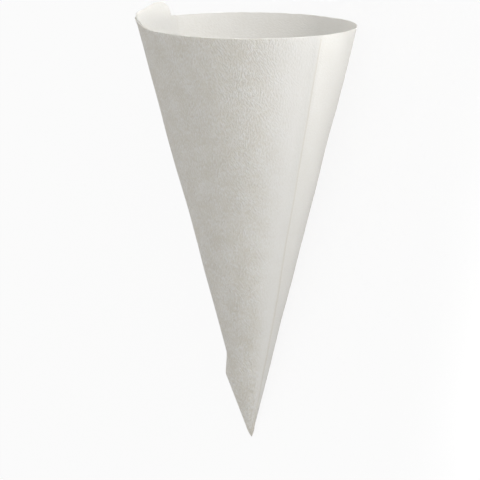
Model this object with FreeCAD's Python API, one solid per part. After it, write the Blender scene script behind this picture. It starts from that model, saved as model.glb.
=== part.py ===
import FreeCAD, Part
import math
import os

# Paper coffee filter: one half round of filter paper, folded in four and opened to a cone.
# All lengths are in millimetres and all angles in degrees.
#
# The folded sheet, read from its inner cut end to its outer cut end, is four panels in a row:
#   inner panel   lines the three-layer side, and its cut end carries the pull tab
#   single panel  goes round the other side of the cone alone
#   middle panel  goes back over the outside of the inner panel
#   outer panel   turns back at the outer fold and covers the middle panel, down to its cut end
#
# The cone is drawn with its point at the origin and its axis along +Z. Angles round the cone are
# counted from the middle of the three-layer side. The middle panel starts at -90 and the outer
# fold lies at +90. The last step lays the cone on its single panel, as it comes to rest.

# The sheet
sheet_radius = 152.4            # flat half round, from its centre (the point) to the rim
sheet_angle = 180.0             # flat angle of the half round at its centre
paper_thickness = 0.22

# The open cone
layer_gap = 0.14                # air between two layers
point_length = 4.0              # the layers are pressed into one lump below this height
point_radius = 0.25             # blunt end of the pressed point
point_swell = 1.06              # the lump is this much wider than the layers that run into it

# Near the point nothing holds the outer panel, and it springs open into a wider cone
spring_ratio = 1.29             # how much wider it curls there than a close fit
spring_height = 23.4            # it is widest here, and narrows in a straight line to the point
close_height = 39.0             # above this it lies close again

# Pull tab on the cut end of the inner panel
tab_height = 5.2                # above the rim, along the wall
tab_end_height = 0.3            # what is left of it where the slope meets the rim
tab_corner_radius = 3.0
tab_shoulder_turn = 21.0        # the tab is nearly full height as far as this angle from its end
tab_shoulder_drop = 0.6         # what it loses up to there
tab_slope_turn = 56.0           # angle at which the slope down to the rim is steepest
tab_turn = 91.0                 # angle over which the tab runs out into the rim

# The flat strip that the cone rests on, down the middle of the single panel
rest_half_turn = 12.0           # half of the strip's width, as an angle round the cone

# Values worked out from the sizes above: each of the four panels covers half of the cone
PANELS = 4
HALF_TURN = 180.0
MIDDLE_START = -90.0
OUTER_FOLD = 90.0
REST_SIDE = 180.0
UP = FreeCAD.Vector(0, 0, 1)
SIN = sheet_angle / PANELS / HALF_TURN
COS = math.sqrt(1 - SIN * SIN)
TAN = SIN / COS

cone_half_angle = math.degrees(math.asin(SIN))
rim_height = sheet_radius * COS
top_height = rim_height + 1.5 * tab_height
pitch = (paper_thickness + layer_gap) / COS
half_wall = paper_thickness / 2 / COS
wide_half_angle = math.degrees(math.asin(spring_ratio * SIN))
wide_tilt = wide_half_angle - cone_half_angle
wide_end = OUTER_FOLD - HALF_TURN / spring_ratio


def polar(radius, angle, z):
    return FreeCAD.Vector(radius * math.cos(math.radians(angle)), radius * math.sin(math.radians(angle)), z)


def arc(radius, start, end, z):
    """Arc round the axis in a level plane, from one angle to another."""
    middle = polar(radius, (start + end) / 2, z)
    return Part.Arc(polar(radius, start, z), middle, polar(radius, end, z)).toShape()


def line(start, end):
    return Part.LineSegment(start, end).toShape()


def layer_radius(layer, z):
    """Middle radius of a layer on the three-layer side, with 0 the inner and 2 the outer one."""
    return z * TAN + (layer - 0.5) * pitch


def apex_height(layer):
    """Height at which a layer's cone would come to its own point."""
    return (0.5 - layer) * pitch / TAN


def cone_wall(half_angle, start, end, low, high):
    """Strip of paper swung round the axis of a cone whose own point is at the origin."""
    slope = math.tan(math.radians(half_angle))
    half = paper_thickness / 2 / math.cos(math.radians(half_angle))
    corners = [
        polar(low * slope - half, start, low),
        polar(low * slope + half, start, low),
        polar(high * slope + half, start, high),
        polar(high * slope - half, start, high),
    ]
    strip = Part.Face(Part.makePolygon(corners + corners[:1]))
    return strip.revolve(FreeCAD.Vector(), UP, end - start)


def close_panel(layer, start, end, low, high):
    """Panel that lies in one of the layers, between two heights."""
    apex = apex_height(layer)
    wall = cone_wall(cone_half_angle, start, end, low - apex, high - apex)
    wall.translate(apex * UP)
    return wall


def single_half():
    """Box over the single panel's side of the cone, from the pressed point to above the tab."""
    reach = 2 * sheet_radius
    corner = FreeCAD.Vector(-reach, -reach, point_length)
    return Part.makeBox(reach, 2 * reach, top_height - point_length, corner)


def flat_side(radius_shift):
    """Space beyond the rest side's flat, for the face that lies a shift out from the middle."""
    turn = math.cos(math.radians(rest_half_turn))
    reach = 2 * sheet_radius
    corners = [
        FreeCAD.Vector(-radius_shift * turn, -reach, 0),
        FreeCAD.Vector(-(top_height * TAN + radius_shift) * turn, -reach, top_height),
        FreeCAD.Vector(-reach, -reach, top_height),
        FreeCAD.Vector(-reach, -reach, 0),
    ]
    return Part.Face(Part.makePolygon(corners + corners[:1])).extrude(FreeCAD.Vector(0, 2 * reach, 0))


def single_panel():
    """The single panel, flattened where the cone rests, from the outer fold to the middle panel."""
    low = point_length
    outside = Part.makeCone(low * TAN + half_wall, top_height * TAN + half_wall, top_height - low)
    inside = Part.makeCone(low * TAN - half_wall, top_height * TAN - half_wall, top_height - low)
    outside.translate(low * UP)
    inside.translate(low * UP)
    wall = outside.cut(flat_side(half_wall)).cut(inside.cut(flat_side(-half_wall)))
    wall = wall.common(single_half())
    wall.translate(FreeCAD.Vector(0, -pitch / 2, 0))
    return wall


def fold_turn():
    """The outer fold: a half round bend of the paper, run up the wall from the pressed point."""
    along = FreeCAD.Vector(0, SIN, COS)
    bend = (paper_thickness + layer_gap) / 2
    foot = FreeCAD.Vector(0, layer_radius(1, 0) + pitch / 2, 0)
    outside = Part.makeCylinder(bend + paper_thickness / 2, 2 * sheet_radius, foot, along)
    inside = Part.makeCylinder(bend - paper_thickness / 2, 2 * sheet_radius, foot, along)
    return outside.cut(inside).common(single_half())


def wide_cone_frame():
    """Placement of the wider cone, which touches the close one along the outer fold."""
    tilt = FreeCAD.Rotation(FreeCAD.Vector(1, 0, 0), wide_tilt)
    return FreeCAD.Placement(apex_height(2) * UP, tilt)


def panel_edge(half_angle, end, height):
    """Outline of the outer panel's wall where a level plane crosses its cone."""
    slope = math.tan(math.radians(half_angle))
    half = paper_thickness / 2 / math.cos(math.radians(half_angle))
    outside = height * slope + half
    inside = height * slope - half
    edges = [
        arc(outside, OUTER_FOLD, end, height),
        line(polar(outside, end, height), polar(inside, end, height)),
        arc(inside, end, OUTER_FOLD, height),
        line(polar(inside, OUTER_FOLD, height), polar(outside, OUTER_FOLD, height)),
    ]
    return Part.Wire(edges)


def outer_panel():
    """The outer panel: close up to the rim, and sprung open towards the point."""
    apex = apex_height(2)
    close = close_panel(2, MIDDLE_START, OUTER_FOLD, close_height, top_height)

    wide = cone_wall(wide_half_angle, wide_end, OUTER_FOLD, point_length / 2, spring_height - apex)
    wide.Placement = wide_cone_frame()
    reach = 2 * sheet_radius
    wide = wide.cut(Part.makeBox(reach, reach, reach, FreeCAD.Vector(-reach / 2, -reach / 2, point_length - reach)))

    widest = panel_edge(wide_half_angle, wide_end, spring_height - apex)
    widest.Placement = wide_cone_frame()
    closest = panel_edge(cone_half_angle, MIDDLE_START, close_height - apex)
    closest.translate(apex * UP)
    closing = Part.makeLoft([widest, closest], True, True)
    return [wide, closing, close]


def wide_point(angle):
    """Point on the outer face of the sprung panel, at the top of the pressed point."""
    slope = math.tan(math.radians(wide_half_angle))
    half = paper_thickness / 2 / math.cos(math.radians(wide_half_angle))
    sideways = math.sin(math.radians(angle)) * math.sin(math.radians(wide_tilt))
    rise = point_length - apex_height(2) - half * sideways
    height = rise / (math.cos(math.radians(wide_tilt)) + slope * sideways)
    return wide_cone_frame().multVec(polar(height * slope + half, angle, height))


def pressed_point():
    """The point of the cone, where all the layers are pressed into one."""
    single = point_length * TAN + half_wall
    shift = FreeCAD.Vector(0, -pitch / 2, 0)
    strip_start = polar(single, REST_SIDE - rest_half_turn, point_length) + shift
    strip_end = polar(single, REST_SIDE + rest_half_turn, point_length) + shift
    near_fold = arc(single, OUTER_FOLD, REST_SIDE - rest_half_turn, point_length)
    far_side = arc(single, REST_SIDE + rest_half_turn, 360.0 + MIDDLE_START, point_length)
    near_fold.translate(shift)
    far_side.translate(shift)
    single_start = polar(single, OUTER_FOLD, point_length) + shift
    single_end = polar(single, 360.0 + MIDDLE_START, point_length) + shift
    fold = wide_point(OUTER_FOLD)
    bend = FreeCAD.Vector(-pitch / 2 - half_wall, 0, 0)
    corner = wide_point(wide_end)
    outline = Part.Wire([
        near_fold,
        line(strip_start, strip_end),
        far_side,
        line(single_end, corner),
        Part.Arc(corner, wide_point((OUTER_FOLD + wide_end) / 2), fold).toShape(),
        line(fold, fold + bend),
        line(fold + bend, single_start + bend),
        line(single_start + bend, single_start),
    ])
    middle = FreeCAD.Vector(0, 0, point_length)
    tip = outline.copy()
    outline.scale(point_swell, middle)
    tip.scale(point_radius / single, middle)
    tip.translate(-point_length * UP)
    return Part.makeLoft([outline, tip], True, True).cut(flat_side(half_wall))


def facing_frame(angle):
    """Placement of a drawing that looks at the cone from outside, at an angle round it."""
    outward = polar(1.0, angle, 0.0)
    sideways = UP.cross(outward)
    return FreeCAD.Placement(FreeCAD.Vector(), FreeCAD.Rotation(sideways, UP, outward, "XYZ"))


def tab_outline():
    """Side view of what stands above the rim: the pull tab, seen square to its middle."""
    view = MIDDLE_START + tab_turn / 2

    def at(turn, rise):
        radius = layer_radius(0, rim_height + rise * COS)
        across = radius * math.sin(math.radians(MIDDLE_START + turn - view))
        return FreeCAD.Vector(across, rim_height + rise * COS, 0)

    corner_start = at(0.0, tab_height - tab_corner_radius)
    corner_end = at(0.0, tab_height) + FreeCAD.Vector(tab_corner_radius, 0, 0)
    corner_centre = corner_end - FreeCAD.Vector(0, tab_corner_radius * COS, 0)
    corner_middle = corner_centre + FreeCAD.Vector(-tab_corner_radius, tab_corner_radius * COS, 0) * 0.7071
    shoulder = at(tab_shoulder_turn, tab_height - tab_shoulder_drop)
    slope_top = at(tab_slope_turn, tab_height - tab_shoulder_drop)
    slope_foot = at(tab_slope_turn, tab_end_height)
    run_out = at(tab_turn, tab_end_height)
    below = -tab_height * FreeCAD.Vector(0, 1, 0)
    beside = FreeCAD.Vector(corner_start.x - tab_corner_radius, corner_start.y, 0)
    low_beside = FreeCAD.Vector(beside.x, rim_height, 0) + below

    slope = Part.BezierCurve()
    slope.setPoles([shoulder, slope_top, slope_foot, run_out])
    edges = [
        line(beside, corner_start),
        Part.Arc(corner_start, corner_middle, corner_end).toShape(),
        line(corner_end, shoulder),
        slope.toShape(),
        line(run_out, run_out + below),
        line(run_out + below, low_beside),
        line(low_beside, beside),
    ]
    outline = Part.Wire(edges)
    outline.Placement = facing_frame(view)
    return Part.Face(outline).extrude(polar(2 * sheet_radius * SIN, view, 0.0))


def above_rim():
    """All that the rim's cut takes off: the space above the rim, apart from the pull tab."""
    reach = 2 * sheet_radius * SIN
    height = 2 * (top_height - rim_height)
    space = Part.makeCylinder(reach, height, rim_height * UP)
    low = rim_height - tab_height
    high = rim_height + height
    inside = Part.makeCone(
        layer_radius(0, low) + pitch / 2,
        layer_radius(0, high) + pitch / 2,
        high - low,
        low * UP,
    )
    return space.cut(tab_outline().common(inside))


def lay_down(shape):
    """Turn the cone so that it lies on its flat strip, with the rim towards +Y."""
    tilt = math.atan(TAN * math.cos(math.radians(rest_half_turn)))
    axis = FreeCAD.Vector(0, math.cos(tilt), math.sin(tilt))
    three_layers_up = FreeCAD.Vector(0, -math.sin(tilt), math.cos(tilt))
    fold_right = FreeCAD.Vector(1, 0, 0)
    turn = FreeCAD.Rotation(three_layers_up, fold_right, axis, "XYZ")
    laid = shape.copy()
    laid.Placement = FreeCAD.Placement(FreeCAD.Vector(), turn)
    box = laid.optimalBoundingBox(False, False)
    laid.translate(FreeCAD.Vector(-box.Center.x, -box.Center.y, -box.ZMin))
    return laid


def coffee_filter():
    inner = close_panel(0, MIDDLE_START, OUTER_FOLD, point_length, top_height)
    middle = close_panel(1, MIDDLE_START, OUTER_FOLD, point_length, top_height)
    others = [single_panel(), middle, fold_turn(), pressed_point()] + outer_panel()
    sheet = inner.multiFuse(others).cut(above_rim())
    return lay_down(sheet.removeSplitter())


os.makedirs("parts", exist_ok=True)
part = coffee_filter()
part.exportStep("parts/filter_sheet.step")
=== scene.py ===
import math

import bpy
from mathutils import Matrix, Vector, noise


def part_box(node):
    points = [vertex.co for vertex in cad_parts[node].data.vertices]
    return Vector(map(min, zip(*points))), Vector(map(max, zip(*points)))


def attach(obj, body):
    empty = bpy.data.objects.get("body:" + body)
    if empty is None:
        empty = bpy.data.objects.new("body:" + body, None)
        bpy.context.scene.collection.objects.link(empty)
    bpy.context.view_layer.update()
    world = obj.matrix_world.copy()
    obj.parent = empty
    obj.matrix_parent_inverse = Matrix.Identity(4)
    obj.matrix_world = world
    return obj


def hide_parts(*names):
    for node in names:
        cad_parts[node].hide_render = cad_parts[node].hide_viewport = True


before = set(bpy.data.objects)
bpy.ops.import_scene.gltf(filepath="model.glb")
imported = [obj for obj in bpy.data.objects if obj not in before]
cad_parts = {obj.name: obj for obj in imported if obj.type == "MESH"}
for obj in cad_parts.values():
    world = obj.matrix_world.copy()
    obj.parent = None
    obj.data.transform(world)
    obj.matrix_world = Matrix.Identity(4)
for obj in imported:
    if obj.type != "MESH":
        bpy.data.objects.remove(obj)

bl_info = {
    "name": "Folded Paper Coffee Filter",
    "version": (1, 0, 0),
    "blender": (4, 5, 0),
    "location": "View3D > Sidebar > Filter",
    "description": "Models a half round of filter paper, folded in four and opened, on its stage",
    "category": "Add Mesh",
}

# Lengths are in millimetres and angles in degrees, until a finished mesh is written in metres.
# What belongs to the stage's lamps and floor is in metres.
#
# The cone is worked out in its own frame, with the point at the origin and the axis along +Z.
# Angles round it are counted from the middle of the three-layer side. The sheet runs from the
# inner cut end as inner, single, middle and outer panel, and the outer fold joins the last two.
# A rise is a height above the point, along the axis.
MM = 0.001
SHEET_NODE = "filter_sheet"

# The flat sheet: its radius, the angle of each panel and the paper's thickness, as the solid has them
SHEET_RADIUS = 152.4
PANEL_ANGLE = 45.0
PAPER_THICKNESS = 0.22

# Gap between the layers, which narrows below this rise to the gap that they have near the point
LAYER_GAP = 0.06
POINT_GAP = 0.02
TIGHT_RISE = 40.0

# Below this rise the layers are pressed together, and this share of their thickness is always left
PRESSED_RISE = 2.0
LEAST_SHARE = 0.02

# Flat strip that the cone rests on, and how far beside it the paper's waves start and are full
REST_SIDE = 180.0
REST_HALF_TURN = 12.0
REST_MARGIN = 2.0
REST_FADE = 30.0

# The outer panel springs open near the point, into a cone this much wider, and closes further up
SPRING_RATIO = 1.23
SPRING_RISE = 24.1
CLOSE_RISE = 31.0

# Waves and puckers: their sizes along the paper, where their noise is read, and the rise of full waves
WAVE_SIZE = 26.0
WAVE_PLACE = Vector((3.1, 7.7, 1.3))
PUCKER_SIZE = 9.0
PUCKER_PLACE = Vector((9.2, 2.4, 5.9))
FULL_WAVES_RISE = 60.0

# How far beside a fold its ridge or its lifted lip fades out
FOLD_REACH = 1.6

# The rim dips a little on one side, and the layers don't end quite level
RIM_DROP = 0.36
RIM_SLANT = 0.42
RIM_LOW_SIDE = 135.0
LAYER_DROPS = {"inner": 0.0, "single": 0.0, "middle": 0.1, "fold": 0.0, "outer": 0.0}

# How quickly the cut wanders, for each degree of the flat sheet, and where its noise is read
CUT_WANDERS = 0.9
CUT_PLACE = (0.7, 0.2)

# Where the folds and the cut ends lie round the cone
INNER_END = -86.0
INNER_FOLD = 90.0
OUTER_FOLD = 88.0
BACK_FOLD = 270.0
OUTER_END = -90.0
PANEL_TURNS = {
    "inner": (INNER_END, INNER_FOLD),
    "single": (INNER_FOLD, BACK_FOLD),
    "middle": (BACK_FOLD - 360, OUTER_FOLD),
    "fold": (OUTER_FOLD, OUTER_FOLD),
    "outer": (OUTER_FOLD, OUTER_END),
}

# Pull tab: its top steps down to a foot with a long tail, and it leans out as it rises
TAB_STEP = 1.6
TAB_STEP_START = -78.5
TAB_STEP_TURN = 18.0
TAB_CORNER = 3.3
TAB_FLARE = 0.14
FOOT_RISE = 3.05
FOOT_START = -54.0
FOOT_TURN = 42.0
TAIL_RISE = 0.7
TAIL_START = -40.0
TAIL_TURN = 75.0

# The middle and the outer panel share the foot from here to the front, and come down behind
SHARED_FROM = -36.0
SHARED_BACK_TURN = 28.0

# Nick at the top of the outer fold
FOLD_NICK = 1.3
NICK_WIDTH = 0.55

# The map of the flat sheet: its name and width, the space between the paper's two faces, and the length
# of the fold's bend. Until it is mapped, the paper's second face is known by its material's place.
SHEET_MAP = "flat_sheet"
MAP_SPAN = 330.0
MAP_MARGIN = 2.0
FOLD_ARC = 0.5
SECOND_FACE = 1

# Faces along each panel, round the outer fold and from the point to the rim. Those of the inner panel
# crowd towards the tab, and all start this far above the point.
INNER_FACES = 84
INNER_CROWDING = 1.6
PANEL_FACES = 66
FOLD_FACES = 6
ROWS = 120
POINT_RISE = 0.2
SMOOTH_ANGLE = 35.0

# Noise in the paper: the size of its clouds, specks and ridges, and of the fields that lean either way
CLOUDS = {"size": 6.0, "detail": 3.0}
SPECKS = {"size": 0.45, "detail": 1.0}
RIDGES = {"size": 0.52, "detail": 1.5}
LEAN_FIELDS = {"size": 9.0, "detail": 1.0}
LEAN_RANGE = (0.42, 0.58)
RIDGE_LENGTH = 2.4
RIDGE_LEAN = 18.0

# How strongly each shows in the colour, where the ridges' colour is partly their own tone and partly
# painted shade of their relief, and, beside the ridges, in the relief
CLOUD_TONE = 0.8
CREPE_TONE_AND_SHADE = 2.0
SPECK_TONE = 0.8
CLOUD_RELIEF = 0.5
SPECK_RELIEF = 0.3

# Share of the light colour before shade and flecks, and the paper's roughness and gloss
PALE_SHARE = 0.8
PAPER_ROUGHNESS = 0.88
PAPER_GLOSS = 0.25

# Width of a crease's painted shade, and how much of that shade is left where the crease is opened out
# again
CREASE_WIDTH = 0.6
OPENED_CREASE = 0.25

# The crepe is smoothed out as far as this part of the outer panel, in degrees on the flat sheet, and so
# is the painted shade that darkens the outer panel, the side in shade
CREPE_AND_SHADE_FROM = 137.0
CREPE_AND_SHADE_TO = 147.0

# Lamps, in metres: place, point aimed at and size
SIDE_LAMP = ((0.62, 0.10, 0.06), (0, 0.02, 0.03), (0.6, 0.12))
MOUTH_LAMP = ((0.62, 0.66, 0.07), (0, 0.07, 0.04), (0.5, 0.16))

# Lamps that light the floor beside the sheet and before its mouth: place on the floor and size
FLOOR_LAMP = ((0.17, 0.06), (0.08, 0.28))
MOUTH_FLOOR_LAMP = ((0.10, 0.21), (0.10, 0.10))
FLOOR_LAMP_HEIGHT = 0.14
FLOOR_LAMP_SPREAD = 50.0
FLOOR_WIDTH = 6.0

# Camera: how far it is turned from the three layers' middle to the outer fold and raised to the mouth,
# and where it aims, along the axis from the point and to the side
CAMERA_TURN = 48.0
CAMERA_RISE = 10.3
CAMERA_ROLL = -0.5
CAMERA_DISTANCE = 1260.0
CAMERA_LENS = 268.4
CAMERA_SENSOR = 36.0
AIM_ALONG = 71.0
AIM_SIDE = -3.3

# Two panels go once round the cone, which gives its half angle
SIN = PANEL_ANGLE / 180
COS = math.sqrt(1 - SIN * SIN)
TAN = SIN / COS
HALF_ANGLE = math.degrees(math.asin(SIN))
WIDE_HALF_ANGLE = math.degrees(math.asin(SPRING_RATIO * SIN))

# The cone's axis and its sides, in the frame of the solids
REST_TILT = math.atan(TAN * math.cos(math.radians(REST_HALF_TURN)))
AXIS = Vector((0, math.cos(REST_TILT), math.sin(REST_TILT)))
THREE_LAYERS = Vector((0, -math.sin(REST_TILT), math.cos(REST_TILT)))
FOLD_SIDE = Vector((1, 0, 0))


def polar(radius, turn, rise=0.0):
    return Vector((radius * math.cos(math.radians(turn)), radius * math.sin(math.radians(turn)), rise))


def smooth(value):
    """Smooth step from 0 to 1."""
    value = min(max(value, 0.0), 1.0)
    return value * value * (3 - 2 * value)


def mix(first, second, share):
    return first + (second - first) * share


def turned(angle):
    """An angle round the cone, between -180 and 180."""
    return (angle + 180) % 360 - 180


# The walls of the cone


def pressed(rise):
    """Share of their thickness and gap that the layers keep near the point."""
    return min(1.0, rise / PRESSED_RISE)


def pitch(rise):
    """Distance from the middle of one layer to the next, straight out from the axis."""
    gap = mix(POINT_GAP, LAYER_GAP, smooth(rise / TIGHT_RISE))
    return (PAPER_THICKNESS + gap) / COS * pressed(rise)


def layer_offset(layer, rise):
    """How far a layer lies outside the true cone, which runs between the inner and the middle one."""
    return (layer - 0.5) * pitch(rise)


def off_rest(turn):
    """0 over the flat strip that the cone rests on, and 1 well away from it."""
    beside = abs(turned(turn - REST_SIDE)) - REST_HALF_TURN
    return smooth((beside - REST_MARGIN) / REST_FADE)


def ripple(turn, rise):
    """How far the paper stands out from the true cone, the same for all layers."""
    shape = bpy.context.scene.filter_sheet
    place = polar(rise * TAN, turn, rise)
    wide = noise.noise(place / WAVE_SIZE + WAVE_PLACE) * shape.wave_height
    fine = noise.noise(place / PUCKER_SIZE + PUCKER_PLACE) * shape.pucker_height
    creases = 0.0
    for crease in (INNER_FOLD, BACK_FOLD):
        across = math.radians(turned(turn - crease)) * rise * TAN
        creases += shape.crease_height * math.exp(-abs(across) / FOLD_REACH)
    return off_rest(turn) * smooth(rise / FULL_WAVES_RISE) * (wide + fine + creases)


def wall_point(layer, turn, rise):
    """Point in the middle of the paper, in one layer of the three-layer side."""
    flare = TAB_FLARE * max(0.0, rise - SHEET_RADIUS * COS)
    radius = rise * TAN + layer_offset(layer, rise) + ripple(turn, rise) + flare
    return polar(radius, turn, rise)


def single_point(turn, rise):
    """Point in the middle of the paper, on the side that has one layer.

    A shift sideways brings this panel to the inner panel at one fold and to the middle one at the other.
    """
    beyond = abs(turned(turn - REST_SIDE))
    radius = rise * TAN + ripple(turn, rise)
    if beyond < REST_HALF_TURN:
        radius *= math.cos(math.radians(REST_HALF_TURN)) / math.cos(math.radians(beyond))
    return polar(radius, turn, rise) + Vector((0, layer_offset(0, rise), 0))


def sprung_point(share, rise):
    """Point of the outer panel near the cone's point, where it springs open into a wider cone."""
    slant = rise / COS
    half = math.radians(WIDE_HALF_ANGLE)
    turn = 90 - share * 180 / SPRING_RATIO
    wide = polar(slant * math.sin(half), turn, slant * math.cos(half))
    tilt = Matrix.Rotation(math.radians(WIDE_HALF_ANGLE - HALF_ANGLE), 3, "X")
    round_axis = Matrix.Rotation(math.radians(OUTER_FOLD - 90), 3, "Z")
    return round_axis @ (tilt @ wide + polar(layer_offset(2, rise), turn))


def outer_point(share, rise):
    """Point of the outer panel, with share 0 at the fold and 1 at the outer cut end."""
    turn = mix(OUTER_FOLD, OUTER_END, share)
    from_fold = math.radians(OUTER_FOLD - turn) * rise * TAN
    lip = math.exp(-((from_fold / FOLD_REACH) ** 2)) * pressed(rise)
    close = wall_point(2, turn, rise) + polar(bpy.context.scene.filter_sheet.fold_lift * lip, turn)
    opened = min(1.0, (CLOSE_RISE - rise) / (CLOSE_RISE - SPRING_RISE))
    if opened <= 0:
        return close
    return mix(close, sprung_point(share, rise), opened)


def fold_point(share, rise):
    """Point of the outer fold's half round bend, from the middle panel to the outer one."""
    inside = wall_point(1, OUTER_FOLD, rise)
    outside = outer_point(0.0, rise)
    centre = (inside + outside) / 2
    outward = (outside - inside) / 2
    sideways = polar(outward.length, OUTER_FOLD + 90)
    angle = math.pi * share
    return centre - outward * math.cos(angle) + sideways * math.sin(angle)


# The flat sheet


def step_down(height, start, span, turn):
    """A height that falls smoothly to 0 from an angle round the cone, over this span."""
    return height * (1 - smooth((turn - start) / span))


def tab_foot(turn):
    """Height of the tab's foot above the rim, at an angle round the cone."""
    foot = step_down(FOOT_RISE, FOOT_START, FOOT_TURN, turn)
    return foot + step_down(TAIL_RISE, TAIL_START, TAIL_TURN, turn)


def edge_rise(panel, turn):
    """How far a panel's cut edge stands above the rim, at an angle round the cone."""
    if panel == "single":
        return 0.0
    if panel != "inner":
        return tab_foot(max(turn, SHARED_FROM)) * smooth((turn - OUTER_END) / SHARED_BACK_TURN)
    height = tab_foot(turn) + step_down(TAB_STEP, TAB_STEP_START, TAB_STEP_TURN, turn)
    along = math.radians(turn - INNER_END) * SHEET_RADIUS * SIN
    if along < TAB_CORNER:
        height -= TAB_CORNER - math.sqrt(TAB_CORNER**2 - (TAB_CORNER - along) ** 2)
    return height


def edge_radius(panel, turn, flat_angle):
    """Radius of the flat sheet's cut edge, with the slight unevenness of a cut through soft paper."""
    wander = noise.noise(Vector((flat_angle * CUT_WANDERS, *CUT_PLACE)))
    uneven = wander * bpy.context.scene.filter_sheet.edge_unevenness
    slant = RIM_DROP + RIM_SLANT * math.cos(math.radians(turn - RIM_LOW_SIDE))
    from_fold = math.radians(flat_angle - 3 * PANEL_ANGLE) * SHEET_RADIUS
    nick = FOLD_NICK * math.exp(-((from_fold / NICK_WIDTH) ** 2))
    return SHEET_RADIUS + uneven + edge_rise(panel, turn) - slant - nick - LAYER_DROPS[panel]


def columns():
    """The sheet's columns from cut end to cut end: panel, share along it and angle on the flat sheet."""
    places = []
    for i in range(INNER_FACES):
        share = (i / INNER_FACES) ** INNER_CROWDING
        places.append(("inner", share, share * PANEL_ANGLE))
    for i in range(PANEL_FACES):
        places.append(("single", i / PANEL_FACES, (1 + i / PANEL_FACES) * PANEL_ANGLE))
    for i in range(PANEL_FACES):
        places.append(("middle", i / PANEL_FACES, (2 + i / PANEL_FACES) * PANEL_ANGLE))
    for i in range(FOLD_FACES):
        places.append(("fold", i / FOLD_FACES, 3 * PANEL_ANGLE))
    for i in range(PANEL_FACES + 1):
        places.append(("outer", i / PANEL_FACES, (3 + i / PANEL_FACES) * PANEL_ANGLE))
    return places


def folded_point(panel, share, rise):
    """Where a point of the flat sheet lies on the folded one, in the cone's own frame."""
    turn = mix(*PANEL_TURNS[panel], share)
    if panel == "single":
        return single_point(turn, rise)
    if panel == "fold":
        return fold_point(share, rise)
    if panel == "outer":
        return outer_point(share, rise)
    return wall_point(0 if panel == "inner" else 1, turn, rise)


def laid_down(point):
    """From the cone's own frame to the frame of the solids, where the cone lies on its single panel."""
    return point.x * THREE_LAYERS + point.y * FOLD_SIDE + point.z * AXIS


# Blender helpers


def deselect():
    bpy.ops.object.select_all(action="DESELECT")


def finish_modifier(piece, kind, **settings):
    """Adds a modifier with these settings and applies it."""
    modifier = piece.modifiers.new(kind.title(), kind)
    for name, value in settings.items():
        setattr(modifier, name, value)
    bpy.context.view_layer.objects.active = piece
    bpy.ops.object.modifier_apply(modifier=modifier.name)


def fold_sheet(piece):
    """Folds the flat grid: each column goes to its panel and each row to its height.

    Gives back where each vertex lies on the flat sheet.
    """
    places = columns()
    mesh = piece.data
    pressed_group = piece.vertex_groups.new(name="pressed")
    flat = {}
    for vertex in mesh.vertices:
        column = round((vertex.co.x + 0.5) * (len(places) - 1))
        row = vertex.co.y + 0.5
        panel, share, flat_angle = places[column]
        turn = mix(*PANEL_TURNS[panel], share)
        radius = mix(POINT_RISE / COS, edge_radius(panel, turn, flat_angle), row)
        past_fold = {"fold": share, "outer": 1 - share}.get(panel, 0.0) * FOLD_ARC
        flat[vertex.index] = polar(radius, flat_angle) + polar(past_fold, flat_angle + 90)
        rise = radius * COS
        vertex.co = laid_down(folded_point(panel, share, rise)) * MM
        pressed_group.add([vertex.index], max(pressed(rise), LEAST_SHARE), "REPLACE")
    return flat


def map_sheet(mesh, flat):
    """Lays the flat sheet out on one half of the piece's map."""
    layer = mesh.uv_layers.new(name=SHEET_MAP)
    for loop in mesh.loops:
        place = flat[loop.vertex_index]
        layer.data[loop.index].uv = (0.5 + place.x / MAP_SPAN, 0.5 + (place.y + MAP_MARGIN) / MAP_SPAN)


def part_faces(piece):
    """Moves the paper's second face to the other half of the map.

    It is the face inside the cone, and on the outer panel, past the last fold, the one outside.
    """
    layer = piece.data.uv_layers.active
    for polygon in piece.data.polygons:
        if polygon.material_index == SECOND_FACE:
            for loop in polygon.loop_indices:
                u, v = layer.data[loop].uv
                layer.data[loop].uv = (u, 1 - v)
        polygon.material_index = 0


def settle(piece, corner_low):
    """Puts the piece on the floor, its point where the solid has it and its middle over the origin."""
    xs = [v.co.x for v in piece.data.vertices]
    ys = [v.co.y for v in piece.data.vertices]
    zs = [v.co.z for v in piece.data.vertices]
    shift = Vector((-(min(xs) + max(xs)) / 2, corner_low.y - min(ys), corner_low.z - min(zs)))
    piece.data.transform(Matrix.Translation(shift))


# Materials


class Value:
    """A shader socket that can be used in plain sums."""

    def __init__(self, graph, socket):
        self.graph = graph
        self.socket = socket

    def sum(self, operation, other, swapped=False):
        pair = (other, self) if swapped else (self, other)
        return self.graph.node("ShaderNodeMath", {"operation": operation}, dict(enumerate(pair)))

    def __add__(self, other):
        return self.sum("ADD", other)

    def __radd__(self, other):
        return self.sum("ADD", other, True)

    def __sub__(self, other):
        return self.sum("SUBTRACT", other)

    def __rsub__(self, other):
        return self.sum("SUBTRACT", other, True)

    def __mul__(self, other):
        return self.sum("MULTIPLY", other)

    def __rmul__(self, other):
        return self.sum("MULTIPLY", other, True)


class Graph:
    """The node tree of a material or of the world."""

    def __init__(self, owner, output):
        owner.use_nodes = True
        self.owner = owner
        self.output = output
        self.tree = owner.node_tree
        self.tree.nodes.clear()

    def node(self, kind, settings=None, inputs=None, output=0):
        """Adds a node and gives back one output. An input that is a Value is linked, any other is set."""
        made = self.tree.nodes.new(kind)
        for name, value in (settings or {}).items():
            setattr(made, name, value)
        for name, value in (inputs or {}).items():
            if isinstance(value, Value):
                self.tree.links.new(value.socket, made.inputs[name])
            else:
                made.inputs[name].default_value = value
        return Value(self, made.outputs[output])

    def surface(self, shader):
        """Shows this shader, and gives back the material or world."""
        shown = self.tree.nodes.new(self.output)
        self.tree.links.new(shader.socket, shown.inputs["Surface"])
        return self.owner


def material_graph(name):
    return Graph(bpy.data.materials.new(name), "ShaderNodeOutputMaterial")


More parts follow.
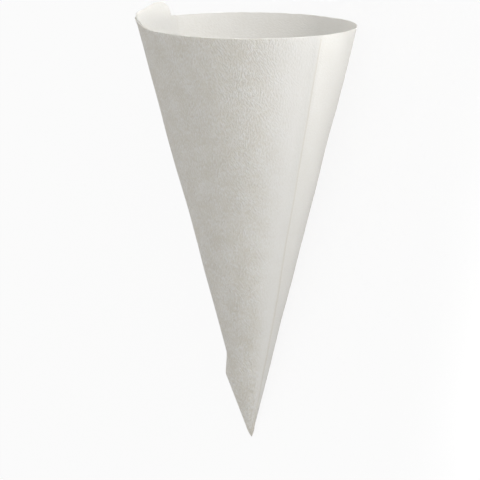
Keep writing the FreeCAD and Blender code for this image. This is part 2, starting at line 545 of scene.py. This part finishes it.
def crease_line(g, across, along, angle, beside):
    """1 along a crease of the flat sheet, at this angle and this far past it, and 0 away from it."""
    turn = math.radians(angle)
    past = along * math.cos(turn) - across * math.sin(turn)
    away = g.node("ShaderNodeMath", {"operation": "ABSOLUTE"}, {0: past - beside})
    return g.node("ShaderNodeMapRange", {"interpolation_type": "SMOOTHSTEP"}, {
        "Value": away, "From Min": 0.0, "From Max": CREASE_WIDTH, "To Min": 1.0, "To Max": 0.0,
    })


def paper_material(finish):
    """Creped filter paper: cloudy fibres, short slanting ridges, a little light let through and painted
    shade.
    """
    g = material_graph("creped_filter_paper")
    sheet = g.node("ShaderNodeUVMap", {"uv_map": SHEET_MAP})
    across = (g.node("ShaderNodeSeparateXYZ", inputs={0: sheet}, output="X") - 0.5) * MAP_SPAN
    either_face = (g.node("ShaderNodeSeparateXYZ", inputs={0: sheet}, output="Y") - 0.5) * MAP_SPAN
    along = g.node("ShaderNodeMath", {"operation": "ABSOLUTE"}, {0: either_face}) - MAP_MARGIN
    place = g.node("ShaderNodeCombineXYZ", inputs={"X": across, "Y": along})

    def fibres(vector, size, detail):
        return g.node("ShaderNodeTexNoise", {"noise_dimensions": "2D"}, {
            "Vector": vector, "Scale": 1 / size, "Detail": detail, "Roughness": 0.5,
        })

    def ridges(angle):
        slanted = g.node("ShaderNodeMapping", {"vector_type": "TEXTURE"}, {
            "Vector": place, "Rotation": (0, 0, math.radians(angle)), "Scale": (1.0, RIDGE_LENGTH, 1.0),
        })
        return fibres(slanted, **RIDGES)

    def tone(pattern, strength):
        """A pattern that runs round one half, as a change of colour either way."""
        return (pattern - 0.5) * strength

    clouds = fibres(place, **CLOUDS)
    specks = fibres(place, **SPECKS)
    lean = g.node("ShaderNodeMapRange", inputs={
        "Value": fibres(place, **LEAN_FIELDS), "From Min": LEAN_RANGE[0], "From Max": LEAN_RANGE[1],
    })
    left = ridges(finish.grain_angle + RIDGE_LEAN)
    right = ridges(finish.grain_angle - RIDGE_LEAN)
    crepe = left + (right - left) * lean
    round_point = g.node("ShaderNodeMath", {"operation": "ARCTAN2"}, {0: along, 1: across})
    # Mask of the crepe and of painted shade: full on the outer panel, the side away from the lamps, and
    # weaker on the other panels
    crepe_and_shade = g.node("ShaderNodeMapRange", {"interpolation_type": "SMOOTHSTEP"}, {
        "Value": round_point, "From Min": math.radians(CREPE_AND_SHADE_FROM), "From Max": math.radians(CREPE_AND_SHADE_TO),
        "To Min": finish.other_panels_crepe_and_shade, "To Max": 1.0,
    })
    # Painted shade along the creases: a dark line on the outer panel just past the outer fold, and a
    # fainter one at the opened back fold
    outer_crease = crease_line(g, across, along, 3 * PANEL_ANGLE, FOLD_ARC + CREASE_WIDTH / 3)
    back_crease = crease_line(g, across, along, 2 * PANEL_ANGLE, 0.0)
    creases = outer_crease + back_crease * OPENED_CREASE
    # Flecks and ridges in the colour, most on the outer panel: random tone, and for the ridges also
    # painted shade of their relief
    mottle_and_relief_shade = (tone(clouds, CLOUD_TONE) + tone(crepe, CREPE_TONE_AND_SHADE) + tone(specks, SPECK_TONE)) * crepe_and_shade
    # Painted shade: the outer panel and the creases are painted darker, towards the warm fleck and shade
    # colour
    shade = crepe_and_shade * finish.crepe_shade + creases * finish.crease_shade
    share = g.node("ShaderNodeClamp", inputs={"Value": PALE_SHARE - shade + mottle_and_relief_shade * finish.mottle_and_relief_shade})
    colour = g.node("ShaderNodeMix", {"data_type": "RGBA"}, {
        0: share, 6: (*finish.fleck_and_shade_colour, 1), 7: (*finish.light_colour, 1),
    }, output=2)
    height = (crepe + clouds * CLOUD_RELIEF + specks * SPECK_RELIEF) * crepe_and_shade
    bump = g.node("ShaderNodeBump", inputs={
        "Height": height, "Distance": finish.bump_height * MM, "Strength": 1.0,
    })
    paper = g.node("ShaderNodeBsdfPrincipled", inputs={
        "Base Color": colour,
        "Roughness": PAPER_ROUGHNESS,
        "Specular IOR Level": PAPER_GLOSS,
        "Normal": bump,
    })
    through = g.node("ShaderNodeBsdfTranslucent", inputs={
        "Color": (*finish.through_colour, 1), "Normal": bump,
    })
    return g.surface(g.node("ShaderNodeMixShader", inputs={0: finish.let_through, 1: paper, 2: through}))


def seen(g):
    """1 for what the camera sees, also in a gloss or through glass, and 0 for the light on the object."""
    kinds = ("Is Camera Ray", "Is Glossy Ray", "Is Transmission Ray")
    rays = [g.node("ShaderNodeLightPath", output=kind) for kind in kinds]
    return g.node("ShaderNodeClamp", inputs={"Value": sum(rays)})


def floor_material(stage):
    """Pale floor, shown near white to the camera and plain to the object's light."""
    g = material_graph("studio_floor")
    diffuse = g.node("ShaderNodeBsdfDiffuse", inputs={"Color": (*stage.floor_colour, 1)})
    white = g.node("ShaderNodeEmission", inputs={"Color": (1, 1, 1, 1), "Strength": 1.0})
    shown = seen(g) * stage.floor_white
    return g.surface(g.node("ShaderNodeMixShader", inputs={0: shown, 1: diffuse, 2: white}))


def studio_sky(stage):
    """Even light from all round, shown white to the camera."""
    g = Graph(bpy.data.worlds.new("studio_sky"), "ShaderNodeOutputWorld")
    light = g.node("ShaderNodeBackground", inputs={"Color": (1, 1, 1, 1), "Strength": stage.sky_strength})
    white = g.node("ShaderNodeBackground", inputs={"Color": (1, 1, 1, 1), "Strength": 1.0})
    return g.surface(g.node("ShaderNodeMixShader", inputs={0: seen(g), 1: light, 2: white}))


# What a user would change


class FilterSheetShape(bpy.types.PropertyGroup):
    wave_height: bpy.props.FloatProperty(
        name="Wave height", description="How far the wide waves of the paper stand out, in millimetres",
        default=0.55, min=0.0, max=2.0)
    pucker_height: bpy.props.FloatProperty(
        name="Pucker height", description="How far the small puckers stand out, in millimetres",
        default=0.10, min=0.0, max=0.5)
    crease_height: bpy.props.FloatProperty(
        name="Crease height", description="How far the opened creases stand out, in millimetres",
        default=0.22, min=0.0, max=1.0)
    fold_lift: bpy.props.FloatProperty(
        name="Fold lift", description="How far the outer fold springs up at its edge, in millimetres",
        default=0.40, min=0.0, max=1.0)
    edge_unevenness: bpy.props.FloatProperty(
        name="Edge unevenness", description="How far the cut edge wanders, in millimetres",
        default=0.15, min=0.0, max=1.0)


class PaperFinish(bpy.types.PropertyGroup):
    light_colour: bpy.props.FloatVectorProperty(
        name="Light colour", description="Colour of the paper between its fibres", subtype="COLOR",
        default=(0.93, 0.93, 0.92), min=0.0, max=1.0)
    # Also the warm colour that the painted shade on the outer panel and the creases darkens towards
    fleck_and_shade_colour: bpy.props.FloatVectorProperty(
        name="Dark colour", description="Colour of the paper's thicker flecks", subtype="COLOR",
        default=(0.765, 0.735, 0.665), min=0.0, max=1.0)
    through_colour: bpy.props.FloatVectorProperty(
        name="Light through", description="Colour of the light that passes through the paper",
        subtype="COLOR", default=(0.88, 0.865, 0.83), min=0.0, max=1.0)
    # How strongly the flecks and the ridges' painted relief shade show
    mottle_and_relief_shade: bpy.props.FloatProperty(
        name="Mottle", description="How strongly the flecks show", default=1.0, min=0.0, max=3.0)
    grain_angle: bpy.props.FloatProperty(
        name="Grain angle", description="Direction of the crepe on the flat sheet, in degrees",
        default=65.0, min=-90.0, max=90.0)
    # Share of the crepe, its mottle and the painted shade that is left on the panels other than the outer
    # one
    other_panels_crepe_and_shade: bpy.props.FloatProperty(
        name="Smooth side", description="How much of the crepe shows on the inner and the single panel",
        subtype="FACTOR", default=0.2, min=0.0, max=1.0)
    # Painted shade: how much darker the outer panel, the side in shade, is painted
    crepe_shade: bpy.props.FloatProperty(
        name="Crepe shade", description="How much darker the paper is where its crepe is deep",
        subtype="FACTOR", default=0.45, min=0.0, max=1.0)
    # Painted shade along the creases, darkest beside the outer fold
    crease_shade: bpy.props.FloatProperty(
        name="Crease shade", description="How much darker the pressed creases are",
        subtype="FACTOR", default=0.5, min=0.0, max=1.0)
    bump_height: bpy.props.FloatProperty(
        name="Bump height", description="Height of the crepe, in millimetres",
        default=0.34, min=0.0, max=1.0)
    let_through: bpy.props.FloatProperty(
        name="Let through", description="Share of the light that passes through the paper",
        subtype="FACTOR", default=0.36, min=0.0, max=1.0)


class StageSettings(bpy.types.PropertyGroup):
    floor_colour: bpy.props.FloatVectorProperty(
        name="Floor colour", description="Colour of the floor", subtype="COLOR",
        default=(0.88, 0.88, 0.88), min=0.0, max=1.0)
    floor_white: bpy.props.FloatProperty(
        name="Floor white", description="How much of the floor is shown as plain white",
        subtype="FACTOR", default=0.88, min=0.0, max=1.0)
    side_power: bpy.props.FloatProperty(
        name="Side light", description="Power of the side light, in watts",
        default=0.36, min=0.0, max=200.0)
    mouth_power: bpy.props.FloatProperty(
        name="Mouth light", description="Power of the light towards the open rim, in watts",
        default=2.4, min=0.0, max=200.0)
    floor_power: bpy.props.FloatProperty(
        name="Floor light", description="Power of the light on the floor beside the sheet, in watts",
        default=0.27, min=0.0, max=200.0)
    mouth_floor_power: bpy.props.FloatProperty(
        name="Mouth floor light", description="Power of the light on the floor before the rim, in watts",
        default=1.5, min=0.0, max=200.0)
    sky_strength: bpy.props.FloatProperty(
        name="Sky strength", description="Strength of the light from all round",
        default=0.785, min=0.0, max=2.0)


# Operators


class MESH_OT_filter_sheet(bpy.types.Operator):
    """Model the folded sheet of filter paper in place of its solid"""
    bl_idname = "mesh.add_filter_sheet"
    bl_label = "Filter Sheet"

    def execute(self, context):
        deselect()
        faces = len(columns()) - 1
        bpy.ops.mesh.primitive_grid_add(x_subdivisions=faces, y_subdivisions=ROWS, size=1, calc_uvs=False)
        piece = context.active_object
        piece.name = "folded_sheet"
        piece.data.name = "folded_sheet"
        map_sheet(piece.data, fold_sheet(piece))
        piece.data.materials.append(paper_material(context.scene.paper_finish))
        piece.data.materials.append(piece.data.materials[0])
        finish_modifier(
            piece, "SOLIDIFY", thickness=PAPER_THICKNESS * MM, offset=0.0, use_even_offset=True,
            vertex_group="pressed", material_offset=SECOND_FACE,
        )
        part_faces(piece)
        piece.data.materials.pop(index=1)
        settle(piece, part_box(SHEET_NODE)[0])
        bpy.ops.object.shade_smooth_by_angle(angle=math.radians(SMOOTH_ANGLE))
        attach(piece, "root")
        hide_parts(SHEET_NODE)
        return {"FINISHED"}


# Stage


def add_area_light(name, place, aim, size, power):
    bpy.ops.object.light_add(type="AREA", location=place)
    lamp = bpy.context.active_object
    lamp.name = name
    lamp.data.shape = "RECTANGLE"
    lamp.data.size, lamp.data.size_y = size
    lamp.data.energy = power
    lamp.rotation_euler = (Vector(aim) - Vector(place)).to_track_quat("-Z", "Y").to_euler()
    return lamp


def add_floor_light(name, spot, size, power):
    """Narrow light straight down on the floor, which throws it up at the paper."""
    lamp = add_area_light(name, (*spot, FLOOR_LAMP_HEIGHT), (*spot, 0), size, power)
    lamp.data.spread = math.radians(FLOOR_LAMP_SPREAD)
    lamp.visible_camera = False


class SCENE_OT_filter_stage(bpy.types.Operator):
    """Add the floor, the light and the camera"""
    bl_idname = "scene.add_filter_stage"
    bl_label = "Stage"

    def execute(self, context):
        stage = context.scene.filter_stage
        deselect()
        bpy.ops.mesh.primitive_plane_add(size=FLOOR_WIDTH, location=(0, 0, 0))
        floor = context.active_object
        floor.name = "studio_floor"
        floor.data.materials.append(floor_material(stage))

        context.scene.world = studio_sky(stage)
        add_area_light("side_light", *SIDE_LAMP, stage.side_power)
        add_area_light("mouth_light", *MOUTH_LAMP, stage.mouth_power)
        add_floor_light("floor_light", *FLOOR_LAMP, stage.floor_power)
        add_floor_light("mouth_floor_light", *MOUTH_FLOOR_LAMP, stage.mouth_floor_power)
        self.add_camera(context)
        context.scene.view_settings.view_transform = "Standard"
        return {"FINISHED"}

    def add_camera(self, context):
        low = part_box(SHEET_NODE)[0]
        point = Vector((0, low.y, low.z))
        turn, rise = math.radians(CAMERA_TURN), math.radians(CAMERA_RISE)
        front = math.cos(turn) * THREE_LAYERS + math.sin(turn) * FOLD_SIDE
        back = math.cos(rise) * front + math.sin(rise) * AXIS
        up = (AXIS - back * AXIS.dot(back)).normalized()
        side = up.cross(back)
        aim = point + AXIS * AIM_ALONG * MM + side * AIM_SIDE * MM
        bpy.ops.object.camera_add(location=aim + back * CAMERA_DISTANCE * MM)
        camera = context.active_object
        camera.data.lens = CAMERA_LENS
        camera.data.sensor_width = CAMERA_SENSOR
        facing = Matrix((side, up, back)).transposed()
        roll = Matrix.Rotation(math.radians(CAMERA_ROLL), 3, "Z")
        camera.rotation_euler = (facing @ roll).to_euler()
        context.scene.camera = camera


class VIEW3D_PT_filter(bpy.types.Panel):
    bl_label = "Paper Coffee Filter"
    bl_idname = "VIEW3D_PT_filter"
    bl_space_type = "VIEW_3D"
    bl_region_type = "UI"
    bl_category = "Filter"

    def draw(self, context):
        for group in (context.scene.filter_sheet, context.scene.paper_finish, context.scene.filter_stage):
            box = self.layout.box()
            for name in group.bl_rna.properties.keys():
                if name not in ("rna_type", "name"):
                    box.prop(group, name)
        self.layout.operator(MESH_OT_filter_sheet.bl_idname)
        self.layout.operator(SCENE_OT_filter_stage.bl_idname)


CLASSES = (
    FilterSheetShape, PaperFinish, StageSettings,
    MESH_OT_filter_sheet, SCENE_OT_filter_stage, VIEW3D_PT_filter,
)


def register():
    for made in CLASSES:
        bpy.utils.register_class(made)
    bpy.types.Scene.filter_sheet = bpy.props.PointerProperty(type=FilterSheetShape)
    bpy.types.Scene.paper_finish = bpy.props.PointerProperty(type=PaperFinish)
    bpy.types.Scene.filter_stage = bpy.props.PointerProperty(type=StageSettings)


def unregister():
    del bpy.types.Scene.filter_stage
    del bpy.types.Scene.paper_finish
    del bpy.types.Scene.filter_sheet
    for made in reversed(CLASSES):
        bpy.utils.unregister_class(made)


def main():
    register()
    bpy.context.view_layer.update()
    bpy.ops.mesh.add_filter_sheet()
    bpy.ops.scene.add_filter_stage()


if __name__ == "__main__":
    main()
